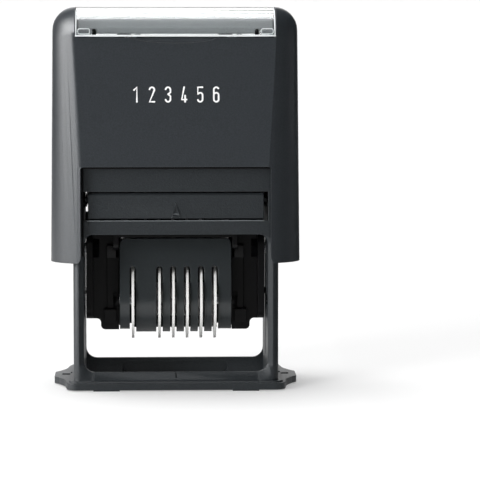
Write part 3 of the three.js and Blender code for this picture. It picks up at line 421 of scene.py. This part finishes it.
# Wheel cover: the smoothest of the grey mouldings
cover_plastic = moulded_plastic(
    "satin_abs_grey",
    "#2a2e30",
    roughness=0.34,
    gloss=0.5,
    grain_mm=0.5,
    grain_depth_mm=0.01,
    colour_spread=0.1,
    edge_mm=0.35,
)
# Carrier, yoke, platen and lock buttons: near black ABS, also used for the painted shade in the slits, the
# catch notches and the gap
dark_plastic = moulded_plastic(
    "satin_abs_black",
    "#08080a",
    roughness=0.4,
    gloss=0.2,
    grain_mm=0.5,
    grain_depth_mm=0.01,
    colour_spread=0.1,
    edge_mm=0.25,
)
# Number wheels: white POM, nearly even in colour
disc_plastic = moulded_plastic(
    "white_pom",
    "#f4f4f2",
    roughness=0.35,
    gloss=0.4,
    grain_mm=0.8,
    grain_depth_mm=0.004,
    colour_spread=0.01,
    edge_mm=0.05,
)
# Painted highlight along the edges of the arrow and of the ledge: a lighter grey plastic
painted_highlight_plastic = moulded_plastic(
    "painted_highlight_grey",
    "#6a6f72",
    roughness=0.3,
    gloss=0.4,
    grain_mm=0.5,
    grain_depth_mm=0.004,
    colour_spread=0.05,
    edge_mm=0.05,
)
# Index window
clear_plastic = clear_acrylic()
# Card under the index window
index_paper = napped("grey_card", "#767a7d", roughness=0.8, nap_mm=0.4, depth_mm=0.004)
# Ink pad
pad_felt = napped("inked_felt", "#141622", roughness=0.95, nap_mm=0.5, depth_mm=0.12)
# Number bands
band_rubber = napped("moulded_rubber_black", "#1b1b1d", roughness=0.7, nap_mm=0.4, depth_mm=0.01)
# Springs, pins and axle
plain_steel = drawn_steel()
# Painted highlight on the rims of the index window and of its catches, where the light comes out
painted_rim_highlight = napped("painted_rim_highlight_white", "#d9dddf", roughness=0.3, nap_mm=0.5, depth_mm=0.001)
# Sample digits
white_ink = napped("white_screen_ink", "#f4f4f4", roughness=0.55, nap_mm=0.3, depth_mm=0.002)

SLOT_MATERIALS = {
    "casing_plastic": casing_plastic,
    "frame_plastic": frame_plastic,
    "cover_plastic": cover_plastic,
    "dark_plastic": dark_plastic,
    "disc_plastic": disc_plastic,
    "clear_plastic": clear_plastic,
    "index_paper": index_paper,
    "pad_felt": pad_felt,
    "band_rubber": band_rubber,
    "plain_steel": plain_steel,
}


# CAD nodes

def paint_nodes():
    """Every CAD node takes the material of its slot."""
    for row in frame["record"]["subparts"]:
        node = nodes[row["node"]]
        node.data.materials.clear()
        node.data.materials.append(SLOT_MATERIALS[row["material_slot"]])


def slot_of(name):
    """The material slot of a CAD node."""
    rows = [row for row in frame["record"]["subparts"] if row["node"] == name]
    return rows[0]["material_slot"]


def take_place_of(piece, name):
    """Puts a finished piece in the place of a CAD node, with its material and on its body."""
    finish(piece, SLOT_MATERIALS[slot_of(name)])
    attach(piece, nodes[name]["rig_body"])
    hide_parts(name)


def smooth_copy(name):
    """A merged copy of a CAD node whose round faces are smooth and whose flat faces stay flat."""
    piece = add_to_scene(f"{name}_finished", nodes[name].data.copy())
    select_only(piece)
    bpy.ops.object.mode_set(mode="EDIT")
    bpy.ops.mesh.select_all(action="SELECT")
    bpy.ops.mesh.remove_doubles(threshold=MERGE_DISTANCE)
    bpy.ops.mesh.dissolve_limited(angle_limit=FLAT_ANGLE)
    bpy.ops.object.mode_set(mode="OBJECT")
    bpy.ops.object.shade_smooth_by_angle(angle=SMOOTH_ANGLE)
    apply_modifier(piece, "WEIGHTED_NORMAL", keep_sharp=True)
    take_place_of(piece, name)


def shortening_spring(name):
    """A return spring with its foot on the frame's roof: a smooth copy of its CAD node, with a mesh of its
    own.
    """
    spring = add_to_scene(f"{name}_finished", nodes[name].data.copy())
    select_only(spring)
    bpy.ops.object.shade_smooth_by_angle(angle=SMOOTH_ANGLE)
    take_place_of(spring, name)
    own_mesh(spring)


# Round bars

def bar_end(place, thickness):
    """The ball that rounds the end of a bar."""
    bpy.ops.mesh.primitive_uv_sphere_add(
        segments=BALL_SEGMENTS, ring_count=BALL_RINGS, radius=thickness / 2, location=place
    )
    ball = bpy.context.view_layer.objects.active
    apply_place(ball)
    return ball


def round_bar(points, thickness):
    """A round bar with round ends along those points."""
    bpy.ops.object.select_all(action="DESELECT")
    bpy.ops.curve.primitive_bezier_curve_add()
    bar = bpy.context.view_layer.objects.active
    bar.data.splines.clear()
    spline = bar.data.splines.new("POLY")
    spline.points.add(len(points) - 1)
    for point, place in zip(spline.points, points):
        point.co = (*place, 1)
    bar.data.bevel_depth = thickness / 2
    bar.data.bevel_resolution = BAR_RESOLUTION
    bar.data.use_fill_caps = True
    select_only(bar)
    bpy.ops.object.convert(target="MESH")
    ends = [bar_end(place, thickness) for place in (points[0], points[-1])]
    return join("bar", [*ends, bar])


def smooth_trim(name, bars, material, body):
    """Joins bars into one smooth piece of that name, which moves with a body."""
    trim = join(name, bars)
    select_only(trim)
    bpy.ops.object.shade_smooth()
    finish(trim, material)
    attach(trim, body)


def seen_from_front(name, across, up):
    """The place and the slope of a piece's front skin where a level line from the front meets it."""
    piece = bpy.data.objects[name]
    bpy.context.view_layer.update()
    hit, place, normal, _ = piece.ray_cast(Vector((across, PROBE_START, up)), Vector((0, 1, 0)))
    if not hit:
        raise ValueError(f"{name} isn't seen there")
    return place, normal


# Printed digits

def arc(up, from_degrees, to_degrees):
    """Points of an arc as wide as a digit, about a point that high over the digit's middle."""
    points = []
    for k in range(ARC_STEPS + 1):
        turn = math.radians(from_degrees + (to_degrees - from_degrees) * k / ARC_STEPS)
        points.append((DIGIT_HALF_WIDTH * math.cos(turn), up + DIGIT_HALF_WIDTH * math.sin(turn)))
    return points


def digit_strokes():
    """The middle lines of the strokes of the digits 1 to 6, each drawn about its digit's middle.

    The numbers are shares of a digit's half width and half height.
    """
    wide = DIGIT_HALF_WIDTH
    tall = DIGIT_HALF_HEIGHT
    bowl = tall - wide
    belly = -0.1 * tall
    waist = (0, 0.04 * tall)
    one = [[(-0.75 * wide, 0.62 * tall), (0.4 * wide, tall), (0.4 * wide, -tall)]]
    two = [[*arc(bowl, 170, -25), (-wide, -tall), (wide, -tall)]]
    three = [
        [*arc(bowl, 170, 0), (wide, 0.3 * tall), waist],
        [waist, (wide, -0.22 * tall), *arc(-bowl, 0, -170)],
    ]
    four = [
        [(0, tall), (-wide, -0.7 * tall), (wide, -0.7 * tall)],
        [(0.4 * wide, -0.15 * tall), (0.4 * wide, -tall)],
    ]
    flag_and_stem = [(0.9 * wide, tall), (-wide, tall), (-wide, 0.02 * tall)]
    five = [[*flag_and_stem, *arc(belly, 130, 0), *arc(-bowl, 0, -165)]]
    six = [[*arc(bowl, 30, 180), *arc(-bowl, 180, 360), *arc(belly, 0, 165)]]
    return [one, two, three, four, five, six]


def ribbon(points):
    """One stroke of a digit as a round bar with round ends."""
    return round_bar([(across, 0, up) for across, up in points], DIGIT_STROKE)


def printed_digits():
    """White sample digits, a thin film of ink on the leaning front panel."""
    across_middle, up_middle = DIGIT_MIDDLE
    place, normal = seen_from_front("casing_finished", across_middle, up_middle)
    lean = math.atan2(normal.z, -normal.y)
    middle_number = (1 + WHEEL_COUNT) / 2
    for number, strokes in enumerate(digit_strokes(), 1):
        digit = join(f"digit_{number}", [ribbon(points) for points in strokes])
        flatten = Matrix.Diagonal((1, DIGIT_FILM / DIGIT_STROKE, 1, 1))
        across = across_middle + (number - middle_number) * DIGIT_PITCH
        stand = Matrix.Translation((across, place.y, up_middle)) @ Matrix.Rotation(-lean, 4, "X")
        digit.data.transform(stand @ flatten)
        digit.matrix_world = Matrix.Identity(4)
        select_only(digit)
        bpy.ops.object.shade_smooth()
        finish(digit, white_ink)
        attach(digit, "casing")


# Index window

def on_window(across, up):
    """A point of the clear window's front skin, whose profile is the same all along it."""
    place, _ = seen_from_front("index_window_finished", WINDOW_PROBE, up)
    return Vector((across, place.y, up))


def catch_outline(side):
    """The rounded outline of a snap catch in a lower corner of the clear window."""
    left, right = (side * reach for reach in CATCH_REACH)
    low, high = CATCH_HEIGHT
    nip_across = side * CATCH_CORNER
    corners = [
        (left, low + CATCH_CORNER),
        (left, high - CATCH_CORNER),
        (left - nip_across, high),
        (right + nip_across, high),
        (right, high - CATCH_CORNER),
        (right, low + CATCH_CORNER),
        (right + nip_across, low),
        (left - nip_across, low),
        (left, low + CATCH_CORNER),
    ]
    return [on_window(across, up) for across, up in corners]


def window_rim_highlights():
    """Painted highlights on the rims of the clear window and of its catches: thin white lines where the
    light comes out.
    """
    bars = [round_bar([on_window(side * WINDOW_REACH, WINDOW_LOW) for side in (-1, 1)], LOW_RIM_WIDTH)]
    ups = [WINDOW_LOW + (WINDOW_HIGH - WINDOW_LOW) * k / WINDOW_STEPS for k in range(WINDOW_STEPS + 1)]
    for side in (-1, 1):
        bars.append(round_bar([on_window(side * WINDOW_REACH, up) for up in ups], RIM_WIDTH))
        bars.append(round_bar(catch_outline(side), CATCH_RIM))
    smooth_trim("window_rim_highlights", bars, painted_rim_highlight, "index_window")


def catch_notch_shades():
    """Painted shade: a dark bar for the hollow beside each catch, seen through the clear window."""
    bars = []
    for side in (-1, 1):
        low, high = (on_window(side * NOTCH_REACH, up) + Vector((0, NOTCH_DEPTH, 0)) for up in NOTCH_HEIGHT)
        bars.append(round_bar([low, high], NOTCH_WIDTH))
    smooth_trim("catch_notch_shades", bars, dark_plastic, "index_window")


# Painted shade in the slits and the gap, and painted edge highlights

def unit_slit_shades():
    """Painted shade: dark bars that close the slits between the wheel cover and the carrier's web."""
    lines = [[(across, 0, SLIT_SHADE_LOW), (across, 0, SLIT_SHADE_HIGH)] for across in SLIT_SHADE_ACROSS]
    bars = [round_bar(line, SLIT_SHADE_WIDTH) for line in lines]
    smooth_trim("unit_slit_shades", bars, dark_plastic, "number_unit")


def casing_gap_shade():
    """Painted shade: a dark bar in the gap round the casing's front cut, along its left side and its top."""
    foot = (-GAP_REACH, GAP_FRONT, GAP_LOW)
    left = (-GAP_REACH, GAP_FRONT, GAP_HIGH)
    right = (GAP_REACH, GAP_FRONT, GAP_HIGH)
    bars = [round_bar(line, GAP_WIDTH) for line in ([foot, left], [left, right])]
    smooth_trim("casing_gap_shade", bars, dark_plastic, "casing")


def painted_edge_highlights(name, body, lines):
    """Painted highlights: fine light bars along edges of one body, which stand out against the grained
    plastic round them.
    """
    bars = [round_bar(points, EDGE_LINE) for points in lines]
    smooth_trim(name, bars, painted_highlight_plastic, body)


def arrow_edge_highlights():
    """Painted highlights along the edges of the raised arrow on the pad cassette."""
    front = seen_from_front("pad_cassette_finished", 0, ARROW_PROBE)[0].y
    tip = (0, front, ARROW_HIGH)
    feet = [(side * ARROW_HALF_WIDTH, front, ARROW_LOW) for side in (-1, 1)]
    bar = [(side * ARROW_BAR_HALF, front, ARROW_BAR_HEIGHT) for side in (-1, 1)]
    painted_edge_highlights("arrow_edge_highlights", "pad_cassette", [[feet[0], tip, feet[1]], bar])


def ledge_edge_highlight():
    """Painted highlight along the edge of the frame's ledge under the arrow."""
    front = seen_from_front("lower_frame_finished", 0, LEDGE_PROBE)[0].y
    ends = [(side * LEDGE_REACH, front, LEDGE_HEIGHT) for side in (-1, 1)]
    painted_edge_highlights("ledge_edge_highlight", "frame", [ends])


# Knurled discs

def knurled_disc(middle, radius, left, right):
    """A flat ring with fine teeth round its rim, from one side to the other."""
    centre = Vector((left, middle.y, middle.z))
    bpy.ops.object.select_all(action="DESELECT")
    bpy.ops.mesh.primitive_circle_add(
        vertices=2 * KNURL_TEETH, radius=radius, location=centre, rotation=(0, math.pi / 2, 0)
    )
    disc = bpy.context.view_layer.objects.active
    apply_place(disc)
    for vertex in list(disc.data.vertices)[::2]:
        vertex.co = centre + (vertex.co - centre) * (1 - KNURL_DEPTH / radius)
    bore_share = BORE_RADIUS / radius
    bpy.ops.object.mode_set(mode="EDIT")
    bpy.ops.mesh.select_all(action="SELECT")
    bpy.ops.mesh.extrude_edges_move()
    bpy.ops.transform.resize(value=(1, bore_share, bore_share), center_override=centre)
    bpy.ops.mesh.select_all(action="SELECT")
    bpy.ops.mesh.extrude_region_move(TRANSFORM_OT_translate={"value": (right - left, 0, 0)})
    bpy.ops.mesh.select_all(action="SELECT")
    bpy.ops.mesh.normals_make_consistent(inside=False)
    bpy.ops.object.mode_set(mode="OBJECT")
    return disc


def delete_vertices(piece, doomed):
    """Deletes the vertices of a mesh that are marked true."""
    select_only(piece)
    bpy.ops.object.mode_set(mode="EDIT")
    bpy.ops.mesh.select_all(action="DESELECT")
    bpy.ops.object.mode_set(mode="OBJECT")
    for vertex, gone in zip(piece.data.vertices, doomed):
        vertex.select = gone
    bpy.ops.object.mode_set(mode="EDIT")
    bpy.ops.mesh.delete(type="VERT")
    bpy.ops.object.mode_set(mode="OBJECT")


def knurled_wheel(number):
    """A number wheel with a fine knurled disc; the drum and the hub are the CAD wheel's own."""
    name = f"number_wheel_{number}"
    middle = Vector(joint_row(f"wheel_turn_{number}")["pos_m"])
    drum = add_to_scene(f"{name}_drum", nodes[name].data.copy())
    reach = [(v.co - middle).yz.length for v in drum.data.vertices]
    rim = [v.co.x for v, r in zip(drum.data.vertices, reach) if r > DRUM_REACH]
    disc = knurled_disc(middle, max(reach), min(rim), max(rim))
    delete_vertices(drum, [r > DRUM_REACH for r in reach])
    wheel = join(f"{name}_finished", [drum, disc])
    select_only(wheel)
    bpy.ops.object.shade_smooth_by_angle(angle=SMOOTH_ANGLE)
    take_place_of(wheel, name)


# Studio

def turn_to(place, aim, axis):
    """The rotation that turns an object's axis from its place to a point."""
    return (Vector(aim) - Vector(place)).to_track_quat(axis, "Y").to_euler()


def area_lamp(name, place, size, power):
    """A soft lamp at a place, turned to the stamp."""
    data = bpy.data.lights.new(name, "AREA")
    data.shape = "RECTANGLE"
    data.size, data.size_y = size
    data.energy = power
    lamp = add_to_scene(name, data)
    lamp.location = place
    lamp.rotation_euler = turn_to(place, STAMP_MIDDLE, "-Z")
    return lamp


def overhead_sun():
    """A wide soft sun from above, which no gloss mirrors."""
    data = bpy.data.lights.new("overhead_lamp", "SUN")
    data.energy = SUN_STRENGTH
    data.angle = SUN_ANGLE
    lamp = add_to_scene("overhead_lamp", data)
    lamp.visible_glossy = False
    lamp.rotation_euler = Vector(SUN_DIRECTION).to_track_quat("Z", "Y").to_euler()


def lamps():
    """The softbox gives only a highlight, the fill and the sun only their light."""
    softbox = area_lamp("left_softbox", SOFTBOX_PLACE, SOFTBOX_SIZE, SOFTBOX_POWER)
    softbox.visible_diffuse = False
    fill = area_lamp("left_front_fill", FILL_PLACE, FILL_SIZE, FILL_POWER)
    fill.visible_glossy = False
    overhead_sun()


def black_flag(name, place, size, aim, material):
    """A black card beside the stamp, which only its gloss mirrors."""
    bpy.ops.object.select_all(action="DESELECT")
    bpy.ops.mesh.primitive_plane_add(size=1, location=place)
    card = bpy.context.view_layer.objects.active
    card.name = name
    card.scale = (*size, 1)
    card.rotation_euler = turn_to(place, aim, "Z")
    apply_place(card)
    card.data.materials.append(material)
    card.visible_camera = False
    card.visible_diffuse = False
    card.visible_shadow = False
    card.visible_transmission = False


def black_flags():
    """Black velvet flags before, beside and behind the stamp, and two on the floor."""
    velvet, shader = new_material("black_velvet")
    shader.inputs["Base Color"].default_value = FLAG_COLOUR
    shader.inputs["Specular IOR Level"].default_value = 0
    for name, place, size, aim in FLAGS:
        black_flag(name, place, size, aim, velvet)


def ray_is(material, path, *kinds):
    """A socket that is 1 for rays of one of these kinds, and 0 for all others."""
    seen = path.outputs[kinds[0]]
    for kind in kinds[1:]:
        links = {0: seen, 1: path.outputs[kind]}
        seen = add_node(material, "ShaderNodeMath", links=links, operation="MAXIMUM").outputs[0]
    return seen


def floor_paper():
    """White paper: the camera sees it a little brighter than it is lit, and it keeps the stamp's shadow."""
    material, shader = new_material("white_paper_floor")
    shader.inputs["Base Color"].default_value = hex_colour(FLOOR_COLOUR)
    shader.inputs["Roughness"].default_value = FLOOR_ROUGHNESS
    shader.inputs["Specular IOR Level"].default_value = FLOOR_GLOSS
    glow = add_node(material, "ShaderNodeEmission", inputs={"Strength": 1})
    path = add_node(material, "ShaderNodeLightPath")
    seen = ray_is(material, path, "Is Camera Ray", "Is Transmission Ray", "Is Glossy Ray")
    share = add_node(
        material,
        "ShaderNodeMath",
        inputs={1: FLOOR_GLOW_SHARE},
        links={0: seen},
        operation="MULTIPLY",
    )
    mix = add_node(
        material,
        "ShaderNodeMixShader",
        links={0: share.outputs[0], 1: shader.outputs["BSDF"], 2: glow.outputs["Emission"]},
    )
    output = material.node_tree.nodes["Material Output"]
    material.node_tree.links.new(mix.outputs["Shader"], output.inputs["Surface"])
    return material


def white_floor():
    """A level floor out to the horizon, which is white like the room."""
    bpy.ops.object.select_all(action="DESELECT")
    bpy.ops.mesh.primitive_plane_add(size=FLOOR_SIZE, location=(0, 0, 0))
    floor = bpy.context.view_layer.objects.active
    floor.name = "floor"
    floor.data.materials.append(floor_paper())


def studio_world():
    """An even room with a white backdrop, and an overhead panel in it that only the gloss mirrors."""
    world = bpy.data.worlds.new("studio_room")
    world.use_nodes = True
    background = world.node_tree.nodes["Background"]
    place = add_node(world, "ShaderNodeTexCoord")
    up_and_back = add_node(
        world,
        "ShaderNodeVectorMath",
        inputs={1: PANEL_DIRECTION},
        links={0: place.outputs["Generated"]},
        operation="DOT_PRODUCT",
    )
    low, high = PANEL_EDGE
    panel = add_node(
        world,
        "ShaderNodeMapRange",
        inputs={"From Min": low, "From Max": high, "To Min": 1, "To Max": PANEL_STRENGTH},
        links={"Value": up_and_back.outputs["Value"]},
    )
    path = add_node(world, "ShaderNodeLightPath")
    room = add_node(
        world,
        "ShaderNodeMix",
        inputs={"A": ROOM_STRENGTH},
        links={"Factor": ray_is(world, path, "Is Glossy Ray"), "B": panel.outputs["Result"]},
    )
    seen = ray_is(world, path, "Is Camera Ray", "Is Transmission Ray")
    strength = add_node(
        world,
        "ShaderNodeMix",
        inputs={"B": 1},
        links={"Factor": seen, "A": room.outputs["Result"]},
    )
    world.node_tree.links.new(strength.outputs["Result"], background.inputs["Strength"])
    background.inputs["Color"].default_value = (1, 1, 1, 1)
    return world


def studio():
    """A white floor and room, the lamps, and black flags for the gloss."""
    bpy.context.scene.view_settings.view_transform = "Standard"
    white_floor()
    bpy.context.scene.world = studio_world()
    lamps()
    black_flags()


def camera():
    """The camera stands as the photograph's did, and looks past the stamp's middle a little to the right."""
    data = bpy.data.cameras.new("camera")
    data.lens = CAMERA_LENS
    data.sensor_width = SENSOR_WIDTH
    data.clip_end = FLOOR_SIZE
    stand = add_to_scene("camera", data)
    stand.location = (CAMERA_SIDE, -CAMERA_DISTANCE, CAMERA_HEIGHT)
    stand.rotation_euler = (math.pi / 2 - CAMERA_PITCH, 0, -CAMERA_YAW)
    bpy.context.scene.camera = stand


paint_nodes()
for name in SMOOTH_NODES:
    smooth_copy(name)
for wheel_number in range(1, WHEEL_COUNT + 1):
    knurled_wheel(wheel_number)
for side in ("left", "right"):
    shortening_spring(f"return_spring_{side}")
printed_digits()
window_rim_highlights()
catch_notch_shades()
unit_slit_shades()
casing_gap_shade()
arrow_edge_highlights()
ledge_edge_highlight()
studio()
camera()
